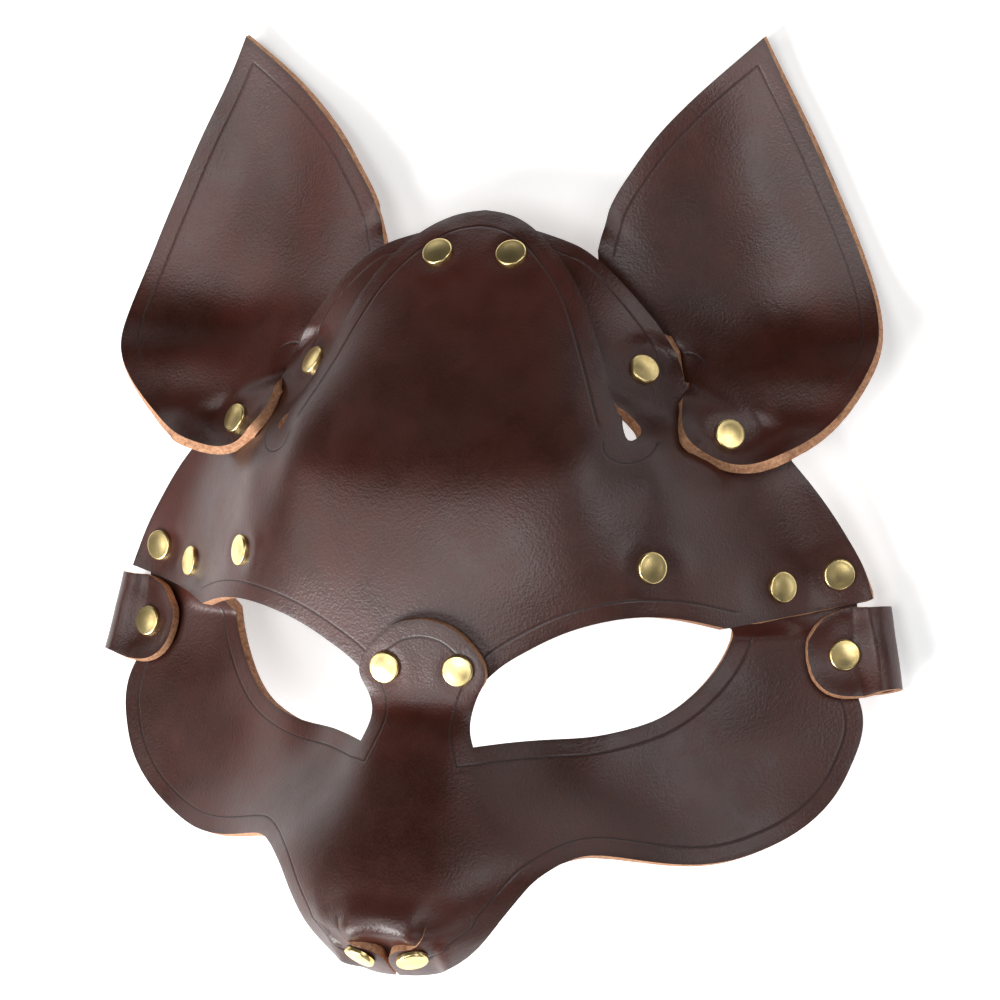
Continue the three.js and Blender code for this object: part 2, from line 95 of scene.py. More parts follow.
# %% Splines through a few values
def weights(stations, places):
    """One row for each place: how much each station's value counts there."""
    stations = np.asarray(stations, float)
    places = np.asarray(places, float)
    n = len(stations)
    gaps = np.diff(stations)
    left, right = np.eye(n), np.zeros((n, n))
    for i in range(1, n - 1):
        left[i, i - 1:i + 2] = gaps[i - 1], 2 * (gaps[i - 1] + gaps[i]), gaps[i]
        right[i, i - 1:i + 2] = 6 / gaps[i - 1], -6 / gaps[i - 1] - 6 / gaps[i], 6 / gaps[i]
    second = np.linalg.solve(left, right)
    inside = np.clip(places, stations[0], stations[-1])
    i = np.clip(np.searchsorted(stations, inside) - 1, 0, n - 2)
    h = gaps[i][:, None]
    b = (inside - stations[i])[:, None] / h
    a = 1 - b
    value = ((a ** 3 - a) * second[i] + (b ** 3 - b) * second[i + 1]) * h * h / 6
    slope = ((1 - 3 * a * a) * second[i] + (3 * b * b - 1) * second[i + 1]) * h / 6
    rows = np.arange(len(places))
    value[rows, i] += a[:, 0]
    value[rows, i + 1] += b[:, 0]
    slope[rows, i] -= 1 / h[:, 0]
    slope[rows, i + 1] += 1 / h[:, 0]
    return value + slope * (places - inside)[:, None]


def curve(points, step):
    """An edge through a few pattern points, with a point at about every step."""
    points = np.asarray(points, float)
    chord = np.concatenate([[0], np.cumsum(np.hypot(*np.diff(points, axis=0).T))])
    count = max(3 if len(points) > 2 else 1, round(chord[-1] / step))
    return weights(chord, np.linspace(0, chord[-1], count + 1)) @ points


def loft(across, rows, mirrored):
    """A height over the face from rows of section heights."""
    rows = sorted(rows)
    ys = [y for y, _ in rows]
    heights = np.array([values for _, values in rows], float)
    if mirrored:
        across = [-x for x in across[:0:-1]] + list(across)
        heights = np.hstack([heights[:, :0:-1], heights])
    return lambda x, y: np.einsum("nr,rc,nc->n", weights(ys, y), heights, weights(across, x))


print("a spline halfway between 0, 1 and 0:", np.round(weights([0, 1, 2], [0.5]) @ [0, 1, 0], 3))

# %% [markdown]
# One shape must also pass into another without a step. A fade goes from 0 to 1 between two places,
# a ramp bends softly from flat to rising, and two faces cross in a rounded crease.

# %% Soft changes from one shape to another
def fade(value, start, end):
    """0 at start, 1 at end, and smooth between them."""
    k = np.clip((value - start) / (end - start), 0, 1)
    return k * k * (3 - 2 * k)


def ramp(t, soft):
    return soft * np.logaddexp(0, np.asarray(t, float) / soft)


def mix(a, b, t):
    return a + (b - a) * t


def higher(a, b, soft):
    return (a + b + np.hypot(a - b, soft)) / 2


def lower(a, b, soft):
    return (a + b - np.hypot(a - b, soft)) / 2


def height_at(face, x, y):
    """One height of a face, to print."""
    return round(float(face(np.array([float(x)]), np.array([float(y)]))[0]), 2)


print("a fade from 10 to 20 is", fade(15, 10, 20), "at 15")

# %% [markdown]
# ## The forms under the leather
# Three forms carry everything: the forehead, the muzzle with its cheeks, and one cupped ear. Each
# row holds a place up the face and the heights of one section there, from the middle outwards. A
# sculpted surface would do as well, but a few rows can be read off a photograph and set again
# exactly. The forehead also puckers below each slit, where the bent leather has nowhere to go.

# %% The forehead's form
BROW_X = [0, 15, 30, 42, 54, 66, 80, 94, 108]
BROW_ROWS = [
    (78, [19, 18.5, 18, 15, 11, 7, 4, 2, 0]),
    (64, [30, 29, 26.5, 22, 16, 11, 6.5, 3, 0]),
    (50, [37.5, 36.8, 32.5, 26, 18.5, 13, 8, 4, 1]),
    (36, [45, 44.5, 41, 31, 19.5, 14.5, 10, 5.5, 2]),
    (22, [52.4, 52, 49.8, 43.5, 26.5, 17.5, 10.5, 6.5, 3]),
    (14, [56.5, 56, 54.2, 49.6, 34.5, 21, 12, 7, 3.2]),
    (8, [59.1, 58.6, 56.9, 52.5, 40, 25, 13.2, 7.5, 3.5]),
    (1, [60.8, 60.2, 58.2, 54, 43.5, 28, 14, 7.1, 3.5]),
    (-8, [61.3, 60.6, 58.6, 54.7, 45.8, 30.5, 14.8, 6.5, 3.5]),
    (-20, [60.8, 60, 58, 54.5, 47, 34, 16, 6, 3.5]),
    (-32, [59, 58.3, 55.8, 52.5, 47.3, 37, 19, 7, 3.5]),
    (-46, [56.5, 55.8, 53, 49, 44.5, 36, 20, 8, 4]),
]
PUCKER_RISE = 1.6
PUCKER_TOP = 22
PUCKER_LENGTH = 27
PUCKER_X = 56.5
PUCKER_LEAN = 0.21
PUCKER_WIDTH = 3.0
PUCKER_SPREAD = 0.09
brow_rows = loft(BROW_X, BROW_ROWS, True)


def brow_section(x, y):
    """The forehead, with the pucker that fans out from each teardrop hole to the inner rivet."""
    below = PUCKER_TOP - y
    aside = np.abs(x) - PUCKER_X + PUCKER_LEAN * (y + 1)
    wide = PUCKER_WIDTH + PUCKER_SPREAD * ramp(below, 2)
    ridge = np.exp(-(aside / wide) ** 2)
    furrow = 0.6 * np.exp(-((aside + 2.1 * wide) / (1.2 * wide)) ** 2)
    strength = fade(y, PUCKER_TOP, PUCKER_TOP - 9) * np.exp(-(below / PUCKER_LENGTH) ** 3)
    return brow_rows(x, y) + PUCKER_RISE * strength * (ridge - furrow)


print("height of the forehead's middle:", height_at(brow_section, 0, 0), "mm")

# %% [markdown]
# The muzzle climbs from the cheeks to the nose. Rows alone would end it in a sharp beak, so a soft
# cone caps it near the middle: flat on top, steep round the rim and hollow underneath, where the
# nose pad is tucked in.

# %% The muzzle's form
MUZZLE_X = [0, 10, 20, 30, 42, 55, 70, 85, 108]
MUZZLE_ROWS = [
    (-20, [58, 57.5, 48, 38, 29, 20, 11.5, 7.5, 0]),
    (-42, [60, 59.4, 49.5, 40, 32, 23, 14, 9, 0.5]),
    (-50, [60, 59.3, 50.3, 41, 34, 25.5, 16.5, 11, 3]),
    (-60, [63.8, 63.2, 54.8, 43.5, 37, 28.5, 20.5, 14, 6.5]),
    (-75, [72, 71, 65.5, 56.5, 45, 34, 24.5, 17, 11]),
    (-90, [79.5, 78.7, 75, 68, 55.5, 41, 29.5, 20.5, 14]),
    (-102, [84.3, 82.8, 76.5, 67, 53, 41, 31, 23, 16]),
    (-110, [87, 82.5, 71, 61, 48, 37, 28, 21, 15]),
    (-117, [88.5, 77, 59.5, 50, 40, 31, 24, 18, 13]),
]
TIP_HEIGHT = 85.8
TIP_Y = -104
TIP_RADIUS = 9.4
HOLLOW_Y = -113
HOLLOW_RADIUS = 10.8
HOLLOW_SLOPE = 0.52
BUTTON_RISE = 1.1
muzzle_rows = loft(MUZZLE_X, MUZZLE_ROWS, True)


def muzzle_section(x, y):
    """The muzzle, with the rounded tip of the nose at its end."""
    a = np.abs(x)
    beside = fade(y, -110, -105)
    steep = 3 - 1.4 * beside
    rim = ramp(np.hypot(0.9 * a, y - TIP_Y) - TIP_RADIUS, 1.3)
    hollow = ramp(HOLLOW_RADIUS - np.hypot(a, y - HOLLOW_Y), 1.5)
    tip = TIP_HEIGHT - steep * rim - HOLLOW_SLOPE * hollow
    button = BUTTON_RISE * fade(a, 12.5, 7.5) * fade(y, -97, -103) * fade(y, -109, -105)
    near = fade(y, -97, -102) * fade(a, 14.5 + 4 * beside, 9.5)
    rows = muzzle_rows(x, y)
    return button + mix(rows, lower(rows, tip, 1.2), near)


print("height of the nose:", height_at(muzzle_section, 0, TIP_Y), "mm")

# %% [markdown]
# The ear is a leaf, cupped along its length. Its foot turns up steeply round the rivet, and that
# holds the cup open.

# %% The ear's form
EAR_X = [26, 42, 56, 70, 84, 100]
EAR_ROWS = [
    (120, [18, 17, 16, 16, 16, 16]),
    (100, [19, 17, 13, 11, 13.5, 15]),
    (80, [18, 15.5, 10.5, 8, 9.5, 13]),
    (60, [17, 15, 11, 7.5, 7, 9.5]),
    (50, [17, 15.5, 12, 7.8, 7.3, 10.5]),
    (44, [17, 16.5, 14, 9.8, 9.5, 13]),
    (36, [17.5, 17.5, 17, 14.2, 14.5, 18.5]),
    (28, [18, 18, 20, 16.8, 16.2, 21.5]),
    (20, [18, 18, 23, 20, 19.6, 25.5]),
    (12, [18, 18, 28, 28.5, 30.5, 33]),
]
ear_section = loft(EAR_X, EAR_ROWS, False)
print("the ear's cup is", height_at(ear_section, 42, 80) - height_at(ear_section, 70, 80), "mm deep")

# %% [markdown]
# ## Layers
# Where two layers lap, one follows the other at the distance of a leather's thickness, measured
# square to the surface. A plain shift in height would be thinner on the slopes. A rivet pulls the
# leather flat under its cap, so each form is flattened there first.

# %% Flat places and offsets
FLAT_RADIUS = 4.6
FLAT_BLEND = 5.0
CAP_STEP = 1.5
FINE_STEP = 0.5


def slopes(face, x, y, step):
    """The slopes along X and Y, measured over a step to each side."""
    return ((face(x + step, y) - face(x - step, y)) / (2 * step),
            (face(x, y + step) - face(x, y - step)) / (2 * step))


def flattened(face, places):
    """The form, drawn flat round each rivet."""
    planes = []
    for place in places:
        px, py = (np.array([float(v)]) for v in place)
        planes.append((px, py, face(px, py), *slopes(face, px, py, CAP_STEP)))

    def height(x, y):
        z = face(x, y)
        for px, py, pz, dx, dy in planes:
            apart = np.hypot(x - px, y - py)
            flat = pz + dx * (x - px) + dy * (y - py)
            z = mix(flat, z, fade(apart, FLAT_RADIUS, FLAT_RADIUS + FLAT_BLEND))
        return z
    return height


def off(face, x, y, distance):
    """How far along Z a layer moves when it lies the given distance off a sloping face."""
    dx, dy = slopes(face, x, y, FINE_STEP)
    return distance * np.sqrt(1 + dx * dx + dy * dy)


brow_face = flattened(brow_section, [CROWN_RIVET, EAR_INNER_RIVET, EAR_OUTER_RIVET,
                                     *BROW_RIVETS, BRIDGE_RIVET])
print("the forehead stands", height_at(brow_face, *BROW_RIVETS[0]), "mm high at its inner rivet")

# %% [markdown]
# The slits let one edge pass under the other. Each face below changes over from its free form to
# the lapped one within a few millimetres: the wing dives under the tongue, the cheek under the
# forehead, and the tab on the bridge climbs over it.

# %% Faces of the wing, the muzzle and the nose pad
def tucked_wing(x, y):
    under = fade(y, 16, 24) * fade(x, 60, 42)
    return brow_face(x, y) - off(brow_face, x, y, LAYER) * under


wing_face = flattened(tucked_wing, [EAR_INNER_RIVET, EAR_OUTER_RIVET])


def muzzle_face(x, y):
    brow = brow_face(x, y)
    layer = off(brow_face, x, y, LAYER)
    over = fade(y, -60, -46) * fade(x, 27, 17)
    under = fade(y, -33, -26) * fade(x, 34, 42)
    return mix(mix(muzzle_section(x, y), brow + layer, over), brow - layer, under)


def nose_pad_face(x, y):
    """The end of the nose, folded in under the two flaps."""
    beside = fade(np.abs(x), 5, 8.5)
    crease = -107 - 1.9 * beside
    tucked = fade(y, crease, crease - 3.2 + 1.4 * beside) * (1 + 0.4 * fade(y, -110.4, -112.4))
    return muzzle_section(x, y) - tucked * off(muzzle_section, x, y, LAYER)


tab = height_at(muzzle_face, 0, -42) - height_at(brow_face, 0, -42)
print("the bridge tab stands", round(tab, 2), "mm over the forehead")

# %% [markdown]
# The ear straddles the wing. Its inner flap lies behind the wing and its lobe lies before it, so
# it has two faces, which part at the slit. Away from the wing both are the free leaf.

# %% Faces of the ear
SLIT_TOP = 32
SLIT_LEAN = 0.31
LOBE_LIFT = 0.6


def ear_behind(x, y):
    limit = wing_face(x, y) - off(wing_face, x, y, EAR_LAYER)
    own = ear_section(x, y)
    held = fade(y, 44, 37) * fade(x, 52, 48)
    behind = mix(lower(own, limit, 1), limit, held)
    return mix(behind, own, np.maximum(fade(x, 51, 59), fade(x + y, 96, 108)))


def ear_before(x, y):
    lift = LOBE_LIFT * fade(x, 65.5, 62) * fade(y, 17.8, 14.8)
    front = wing_face(x, y) + off(wing_face, x, y, EAR_LAYER + lift)
    apart = np.hypot(x - EAR_OUTER_RIVET[0], y - EAR_OUTER_RIVET[1])
    cup = mix(front, higher(ear_section(x, y), front, 2), fade(apart, 3, 17))
    slit = SLIT_TOP - SLIT_LEAN * (x - 54.4)
    return mix(ear_behind(x, y), cup, fade(y, slit, slit - 4.5))


print("the ear's lobe stands", height_at(ear_before, *EAR_OUTER_RIVET), "mm high at its rivet")

# %% [markdown]
# ## Bending a flat pattern
# A slit opens when the piece is laid flat, because its two edges come from two different heights.
# Cloth simulation could fold the piece, but the folds would wander off their rivets. So each bend
# is a rule that takes a place on the flat pattern to a point of the finished mask. The wings' lap
# and the flaps under the nose are laid out wider on the pattern, and the bend pushes them home.

# %% Spread laps and dimples
DIMPLE = 0.35


def wing_spread(y):
    return 0.85 * ramp(np.asarray(y, float) - 22, 1.2)


def flap_spread(y):
    return 12 * fade(np.asarray(y, float), -103.2, -112.2)


def dimples(x, y, places):
    """How far the caps press into the leather."""
    depth = np.zeros_like(x)
    for px, py in places:
        apart = np.hypot(x - px, y - py) / (CAP_RADIUS + 0.5)
        depth += DIMPLE * np.exp(-apart ** 6)
    return depth


print("one wing's pattern is", wing_spread(70).round(1), "mm wider at the crown")

# %% [markdown]
# Each bend picks the face that a place on the pattern belongs to. A place on the wing, on the nose
# pad or on the ear's lobe follows another face than its neighbour across the slit.

# %% Bends from the flat pattern to the face
SLIT_FOOT = 16
SLIT_Y = [16, 22, 30, 38, 50, 60, 70, 80]
SLIT_X = [46.8, 44.6, 41.5, 38, 32.5, 27.5, 23, 20]
PAD_TOP = -100
PAD_HALF_WIDTH = 11.25
EAR_SLIT_X = 54.2


def bend_brow(p, y):
    a = np.abs(p)
    on_wing = (y > SLIT_FOOT) & (a > weights(SLIT_Y, y) @ SLIT_X)
    x = np.where(on_wing, a - wing_spread(y), a)
    z = np.where(on_wing, wing_face(x, y), brow_face(x, y))
    caps = np.where(on_wing, dimples(x, y, [EAR_INNER_RIVET]),
                    dimples(x, y, [CROWN_RIVET, *BROW_RIVETS]))
    return np.stack([np.where(p < 0, -x, x), y, z - caps], axis=1)


def bend_muzzle(p, y):
    a = np.abs(p)
    on_pad = (y < PAD_TOP) & (a < PAD_HALF_WIDTH)
    x = np.where(on_pad, a, a - flap_spread(y))
    z = np.where(on_pad, nose_pad_face(a, y),
                 muzzle_face(x, y) - dimples(x, y, [BRIDGE_RIVET, NOSE_RIVET]))
    return np.stack([np.where(p < 0, -x, x), y, z], axis=1)


def bend_ear(p, y):
    before = p > EAR_SLIT_X
    z = np.where(before, ear_before(p, y) - dimples(p, y, [EAR_OUTER_RIVET]), ear_behind(p, y))
    return np.stack([p, y, z], axis=1)


def on_face(height):
    """A bend that only lifts each place to a face."""
    return lambda x, y: np.stack([x, y, height(x, y)], axis=1)


def normals(bend, p, y):
    """The outer normals of a bent face."""
    step = 0.02
    across = bend(p + step, y) - bend(p - step, y)
    up = bend(p, y + step) - bend(p, y - step)
    n = np.cross(across, up)
    return n / np.linalg.norm(n, axis=1)[:, None]


crown = bend_brow(np.array([0.0]), np.array([74.6]))[0]
print("the tip of the tongue lands", crown[2].round(1), "mm high")

# %% [markdown]
# ## The pattern
# These are the lines a maker would scribe round a card template. Each run is one smooth edge, and
# two runs meet in a corner. Only the right half is drawn. The left one is its mirror image, so both
# sides fit the same rivets.

# %% Runs of the forehead's pattern
TONGUE = [(0, 74.6), (7, 73.4), (12.3, 71), (16.8, 67.8), (21.8, 63), (26.7, 57), (30.3, 51),
          (34, 43), (38.2, 33.5), (41.4, 26.4), (43.4, 22)]
HOLE = [(43.4, 22), (45.2, 18), (46.8, 16), (48.2, 17.4), (46.6, 20.6), (41.6, 24.6)]
WING_INNER = [(41.6, 24.6), (30, 36), (14, 50), (4, 60), (2, 70)]
WING_TOP = [(2, 70), (10, 70.3), (20.4, 67.6)]
WING_OUTER = [(20.4, 67.6), (27, 65), (34, 60), (41, 53), (47.6, 45), (51.4, 38.6), (54, 32.6)]
WING_HIDDEN = [(54, 32.6), (56.2, 29), (60, 26.4), (67, 24.6), (75, 20.5), (81.3, 12.5)]
TEMPLE = [(81.3, 12.5), (86, 7), (90.8, 0.5), (95.2, -6.4), (99, -13.4), (101.8, -21.4)]
BROW_EDGE_OUTER = [(101.8, -21.4), (94, -23.6), (82, -26.8), (70.5, -30)]
BROW_EDGE_EYE = [(70.5, -30), (62, -28), (52.5, -27.8), (43, -29.7), (34, -33), (25.5, -37.6),
                 (19, -42), (13, -47.5), (7, -50.6), (0, -51.5)]
print("half the forehead's lower edge is", BROW_EDGE_OUTER[0][0], "mm wide")

# %% Runs of the muzzle's pattern
BRIDGE = [(0, -30.4), (6, -31.5), (11.5, -35), (15.3, -39.6), (16.6, -44), (15, -48),
          (13.3, -52.5), (13.2, -56.5), (14.8, -61.4)]
EYE = [(14.8, -61.4), (22, -60.2), (30, -59.4), (38, -58.6), (46, -56.6), (53, -53.6),
       (59, -48.6), (63.6, -42.6), (66.8, -36), (68.4, -30.5)]
TAB = [(68.4, -30.5), (61, -22.5), (52, -18.5), (48.6, -12), (52, -8), (64, -7), (82, -10.5),
       (93.5, -9)]
CHEEK = [(93.5, -9), (96.6, -17), (97, -32), (97.8, -43), (100.6, -50.5), (101, -56),
         (99.4, -63), (96.4, -70.4), (92, -76.6), (86.4, -81.6), (79.6, -85.6), (72.2, -88.4),
         (63.5, -89.4), (55, -88.6), (47.5, -87.3), (42.3, -87.2), (37.8, -89.2)]
SNOUT = [(37.8, -89.2), (33.6, -92.8), (30.2, -97.4), (27, -102.1), (23.4, -107.1),
         (19.2, -111.6), (14.6, -115.1), (9.8, -117.3), (4.8, -118), (0.5, -118.1)]
FLAP = [(0.5, -118.1), (0.35, -114.8), (0.9, -112.7), (2.6, -111.4), (5, -110.5), (7.6, -110.1),
        (9.6, -108.5), (10.8, -106.6), (11.3, -104)]
PAD = [(11.18, -103.9), (10.65, -106.5), (9.4, -108.4), (7.5, -109.95), (4, -112.5), (0, -113.8)]
print("the muzzle is", round(BRIDGE[0][1] - SNOUT[-1][1], 1), "mm long in the middle")

# %% Runs of the ear's pattern
EAR = [(29, 65), (32.2, 76.8), (37.2, 85.4), (42.9, 93.8), (49.4, 101.4), (56.2, 108.2),
       (63.2, 114.2), (70.4, 120)]
EAR_OUTER = [(70.4, 120), (75.6, 109), (80.4, 99.6), (85, 90.4), (89.4, 80.9), (93.8, 71.2),
             (97.8, 61.6), (101.3, 51.5), (102.6, 41.5), (99.9, 32.4), (94.2, 24), (86, 16.8),
             (77.2, 12.4), (68.5, 11.4), (62.4, 14), (58, 18.2), (55.8, 23), (55.2, 27.4), (54.7, 31.8)]
EAR_FLAP = [(53.7, 31.8), (52.6, 28.8), (48.6, 26.8), (42.4, 27.6), (37.4, 33), (34, 42),
            (30.6, 53), (29, 65)]
print("the ear is", round(EAR[-1][1] - EAR_OUTER[13][1], 1), "mm long")

# %% [markdown]
# The runs are joined into closed outlines. The wings and the flaps are spread first, by as much as
# the bends push them back.

# %% Outlines from the runs
DENSE_STEP = 1.4


def spread(points, shift):
    return [(x + float(shift(y)), y) for x, y in points]


def joined(runs, step=1.0):
    """Runs end to end, without the points that two of them share."""
    return np.vstack([curve(run, step)[:-1] for run in runs])


def mirrored_outline(right, last):
    left = right[:0:-1] * (-1, 1)
    return np.vstack([right, [last], left])


hole, inner, top, outer, hidden = (spread(run, wing_spread) for run in
                                   (HOLE, WING_INNER, WING_TOP, WING_OUTER, WING_HIDDEN))
brow_outline = mirrored_outline(joined([TONGUE, hole, inner, top, outer, hidden, TEMPLE,
                                        BROW_EDGE_OUTER, BROW_EDGE_EYE]), BROW_EDGE_EYE[-1])
snout, flap = (spread(curve(run, DENSE_STEP), flap_spread) for run in (SNOUT, FLAP))
muzzle_outline = mirrored_outline(joined([BRIDGE, EYE, TAB, CHEEK, snout, flap, PAD]), PAD[-1])
ear_outline = joined([EAR, EAR_OUTER, [EAR_OUTER[-1], EAR_FLAP[0]], EAR_FLAP])
print("points on the patterns:", len(brow_outline), len(muzzle_outline), len(ear_outline))

# %% [markdown]
# ## Tooled lines
# Before riveting, the maker presses a fine line along the edges with a creaser, and half a ring
# round each slit's end. A bump map could fake it, but a real groove catches the light from every
# side. Each line is the outline's edge, moved inwards.

# %% Distances and inset lines
NEAR_SHARE = 0.985


def nearest(points, chain, closed):
    """Distance to a chain of points, and if the point lies inside it."""
    ends = np.roll(chain, -1, axis=0) if closed else chain[1:]
    starts = chain if closed else chain[:-1]
    best = np.full(len(points), 1e9)
    inside = np.zeros(len(points), bool)
    for a, b in zip(starts, ends):
        along = b - a
        t = np.clip((points - a) @ along / max(along @ along, 1e-12), 0, 1)
        best = np.minimum(best, np.hypot(*(points - a - t[:, None] * along).T))
        crosses = (a[1] > points[:, 1]) != (b[1] > points[:, 1])
        if crosses.any():
            reach = a[0] + (points[:, 1] - a[1]) / (b[1] - a[1] + 1e-12) * along[0]
            inside ^= crosses & (points[:, 0] < reach)
    return best, inside


def inset(line, distance):
    """A line moved to the right of its own direction, with mitred corners."""
    along = np.diff(line, axis=0)
    along /= np.hypot(*along.T)[:, None]
    side = along[:, ::-1] * (1, -1)
    corner = (side[:-1] + side[1:]) / (1 + np.sum(side[:-1] * side[1:], axis=1))[:, None]
    moved = line + distance * np.vstack([side[:1], corner, side[-1:]])
    return moved[nearest(moved, line, False)[0] > NEAR_SHARE * abs(distance)]


print("a line inset by 2 mm runs at x =", inset(np.array([[0.0, 0.0], [0.0, 10.0]]), 2)[0, 0])

# %% [markdown]
# The lines follow the tongue, the wings, the eyes, the jaw and the ears. Half rings stand round the
# teardrop holes and the ends of the ears' slits.

# %% Tooled lines on the pattern
LINE_INSET = 4.3
LINE_STEP = 1.2
RING_RADIUS = 5.3
RING_POINTS = 19
HOLE_CENTRE = (46.9, 15.6)
EAR_SLIT_END = (53.6, 34.0)


def from_middle(right):
    return np.vstack([right[::-1] * (-1, 1), right[1:]])


def to_middle(right):
    return np.vstack([right, right[-2::-1] * (-1, 1)])


def both_sides(right):
    return [right, right[::-1] * (-1, 1)]


def open_line(*runs):
    """Runs end to end as a line that isn't closed."""
    return np.vstack([joined(runs, LINE_STEP), runs[-1][-1:]])


def half_ring(centre, first, last):
    angles = np.radians(np.linspace(first, last, RING_POINTS))
    return centre + RING_RADIUS * np.stack([np.cos(angles), np.sin(angles)], axis=1)


brow_edges = [from_middle(curve(TONGUE, LINE_STEP)), to_middle(curve(BROW_EDGE_EYE, LINE_STEP)),
              *both_sides(curve(outer, LINE_STEP))]
rings = [half_ring((side * HOLE_CENTRE[0], HOLE_CENTRE[1]), -172, -8) for side in (1, -1)]
brow_lines = [inset(line, LINE_INSET) for line in brow_edges] + rings
eye_edge = open_line(BRIDGE, EYE)
jaw_edge = open_line(CHEEK[3:], snout[:-3])
muzzle_lines = [inset(line, LINE_INSET) for line in (from_middle(eye_edge), *both_sides(jaw_edge))]
ear_lines = [inset(open_line(EAR, EAR_OUTER[:10]), LINE_INSET), half_ring(EAR_SLIT_END, 20, 165)]
print("tooled lines:", len(brow_lines) + len(muzzle_lines) + 2 * len(ear_lines))

# %% [markdown]
# ## The flat net
# A piece of leather is one even sheet. A grid would leave steps along its curved edge, and Blender
# has no pattern knife, so a Delaunay routine joins the outline and an even net of points inside it
# into small triangles. Each tooled line gets five rows of points, of which the middle one is
# pressed in once the piece has its thickness.

# %% A net of triangles over a pattern
LINE_ROWS = (-0.62, -0.27, 0, 0.27, 0.62)
EDGE_CLEARANCE = 0.7
LINE_CLEARANCE = 0.5
TRIANGLES_INSIDE = 1
MERGE_DISTANCE = 1e-5


def even_net(low, high, spacing):
    """Points in the corners of even triangles, over a box."""
    rise = spacing * math.sqrt(3) / 2
    net = []
    for row in range(math.floor(low[1] / rise), math.ceil(high[1] / rise)):
        columns = np.arange(math.floor(low[0] / spacing), math.ceil(high[0] / spacing) + 1)
        across = (columns + 0.5 * (row % 2)) * spacing
        net.append(np.stack([across, np.full(len(columns), row * rise)], axis=1))
    return np.vstack(net)


def flat_net(outline, lines, spacing):
    """The outline, the tooled lines and an even net of points, joined into triangles."""
    net = even_net(outline.min(axis=0), outline.max(axis=0), spacing)
    gap, inside = nearest(net, outline, True)
    keep = inside & (gap > EDGE_CLEARANCE * spacing)
    for line in lines:
        keep &= nearest(net, line, False)[0] > LINE_ROWS[-1] + LINE_CLEARANCE * spacing
    chains = [inset(line, k) if k else line for line in lines for k in LINE_ROWS]
    points = np.vstack([outline, *chains, net[keep]])
    joins = [(i, (i + 1) % len(outline)) for i in range(len(outline))]
    first = len(outline)
    for chain in chains:
        joins += [(i, i + 1) for i in range(first, first + len(chain) - 1)]
        first += len(chain)
    placed, _, faces, *_ = delaunay_2d_cdt([Vector(p) for p in points], joins, [],
                                           TRIANGLES_INSIDE, MERGE_DISTANCE)
    return np.array([(v.x, v.y) for v in placed]), [tuple(face) for face in faces]


print("points in a net of 10 by 10 mm:", len(even_net((0, 0), (10, 10), 1.5)))

# %% [markdown]
# ## Bending and thickening
# The bend moves the net's points onto the face. Then the Solidify modifier gives the thickness
# inwards, and a Bevel modifier rounds the raw edges, as a knife and a burnishing stick would. The
# face, the raw edge and the flesh side get a material slot each, because they look different on
# real leather. An attribute keeps the tooling and the distance to the edge for the material.

# %% Select a piece and apply a modifier
def only(piece):
    """Deselects everything, then selects one piece and makes it active."""
    bpy.ops.object.select_all(action="DESELECT")
    piece.select_set(True)
    bpy.context.view_layer.objects.active = piece


def apply_modifier(piece, kind, **settings):
    modifier = piece.modifiers.new(kind.title(), kind)
    for name, value in settings.items():
        setattr(modifier, name, value)
    only(piece)
    bpy.ops.object.modifier_apply(modifier=modifier.name)


print("each modifier is applied as soon as it is set")

# %% The leather cutter
LINE_DEPTH = 0.16
ON_LINE = 0.05
EDGE_ROUND = 0.38
SHARP = math.radians(70)
FACE_SLOT, EDGE_SLOT, BACK_SLOT = range(3)


def cut_leather(name, outline, bend, thickness, lines=(), spacing=1.5, mirror=False):
    """One piece of leather, cut, bent, thickened, creased and rounded at its raw edges."""
    flat, faces = flat_net(outline, lines, spacing)
    pressed = np.zeros(len(flat))
    for line in lines:
        pressed[nearest(flat, line, False)[0] < ON_LINE] = 1
    bent = bend(flat[:, 0], flat[:, 1])
    creased = bent - normals(bend, flat[:, 0], flat[:, 1]) * LINE_DEPTH * pressed[:, None]
    edge = nearest(flat, outline, True)[0]
    if mirror:
        bent[:, 0] *= -1
        creased[:, 0] *= -1
        faces = [face[::-1] for face in faces]
    mesh = bpy.data.meshes.new(name)
    mesh.from_pydata(to_part(bent).tolist(), [], faces)
    marks = mesh.attributes.new("tooling", "FLOAT_VECTOR", "POINT")
    marks.data.foreach_set("vector", np.stack([pressed, edge, edge], axis=1).ravel())
    piece = bpy.data.objects.new(name, mesh)
    bpy.context.scene.collection.objects.link(piece)
    for _ in (FACE_SLOT, EDGE_SLOT, BACK_SLOT):
        mesh.materials.append(None)
    apply_modifier(piece, "SOLIDIFY", thickness=thickness * MM, offset=-1, use_rim=True,
                   use_even_offset=True, material_offset=BACK_SLOT, material_offset_rim=EDGE_SLOT)
    for i in np.flatnonzero(pressed):
        piece.data.vertices[i].co = to_part(creased[i:i + 1])[0]
    apply_modifier(piece, "BEVEL", width=EDGE_ROUND * MM, segments=3, limit_method="ANGLE",
                   angle_limit=SHARP, miter_outer="MITER_ARC", material=EDGE_SLOT)
    only(piece)
    bpy.ops.object.shade_smooth()
    print(name, "has", len(piece.data.polygons), "faces")
    return piece


print("a raw edge is rounded by", EDGE_ROUND, "mm")

# %% [markdown]
# ## The forehead
# One piece: a tongue that arches over the crown, with two wings tucked under it. The wings open
# from the tongue at two teardrop holes, which keep the slits from tearing. It is cut as one, as on
# the real mask, so the grain and the tooled line run on over the crown.

# %% Cut the forehead
brow = cut_leather("forehead_leather", brow_outline, bend_brow, LEATHER, brow_lines)

# %% [markdown]
# ## The muzzle and cheeks
# One piece again: the tab on the bridge of the nose laps over the forehead, and the cheeks tuck
# under it at the temples. Two flaps fold under the nose pad and meet in a V. The net is finer here,
# because the nose bends the most.

